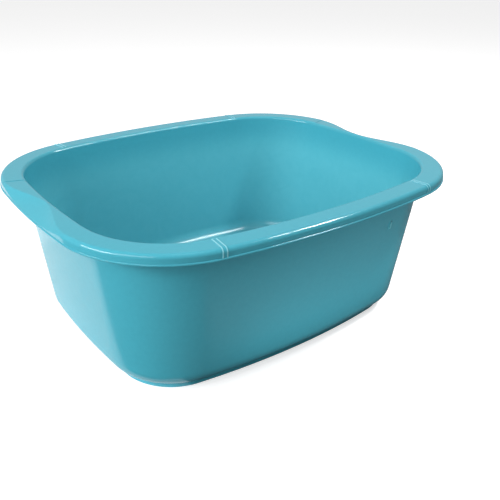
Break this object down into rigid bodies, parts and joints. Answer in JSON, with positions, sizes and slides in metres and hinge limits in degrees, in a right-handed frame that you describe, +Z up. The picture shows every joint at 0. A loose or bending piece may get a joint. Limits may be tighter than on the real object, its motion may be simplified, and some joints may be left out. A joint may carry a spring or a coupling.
{
  "type": "washing up bowl",
  "caption": "Rectangular plastic washing up bowl with bowed sides, rounded corners, a turned-down rim and a scooped hand grip at each end.",
  "frame": {"origin": "middle of the plan, on the plane that the foot ring stands on", "axes": "+X along the bowl's length from one hand grip to the other, -Y towards the long side that faces the viewer, +Z up out of the open top"},
  "size_m": [0.38, 0.31, 0.1424],
  "materials": {
    "bowl_plastic": "satin gloss, self-coloured turquoise polypropylene"
  },
  "bodies": {
    "root": {"floor_panel": "bowl_plastic", "foot_ring": "bowl_plastic", "front_wall": "bowl_plastic", "back_wall": "bowl_plastic", "left_end_wall": "bowl_plastic", "right_end_wall": "bowl_plastic", "front_left_corner": "bowl_plastic", "front_right_corner": "bowl_plastic", "back_left_corner": "bowl_plastic", "back_right_corner": "bowl_plastic", "front_rim": "bowl_plastic", "back_rim": "bowl_plastic", "front_left_rim_corner": "bowl_plastic", "front_right_rim_corner": "bowl_plastic", "back_left_rim_corner": "bowl_plastic", "back_right_rim_corner": "bowl_plastic", "left_handle": "bowl_plastic", "right_handle": "bowl_plastic", "front_left_rim_band": "bowl_plastic", "front_right_rim_band": "bowl_plastic", "back_left_rim_band": "bowl_plastic", "back_right_rim_band": "bowl_plastic", "wall_nib": "bowl_plastic"}
  },
  "joints": []
}
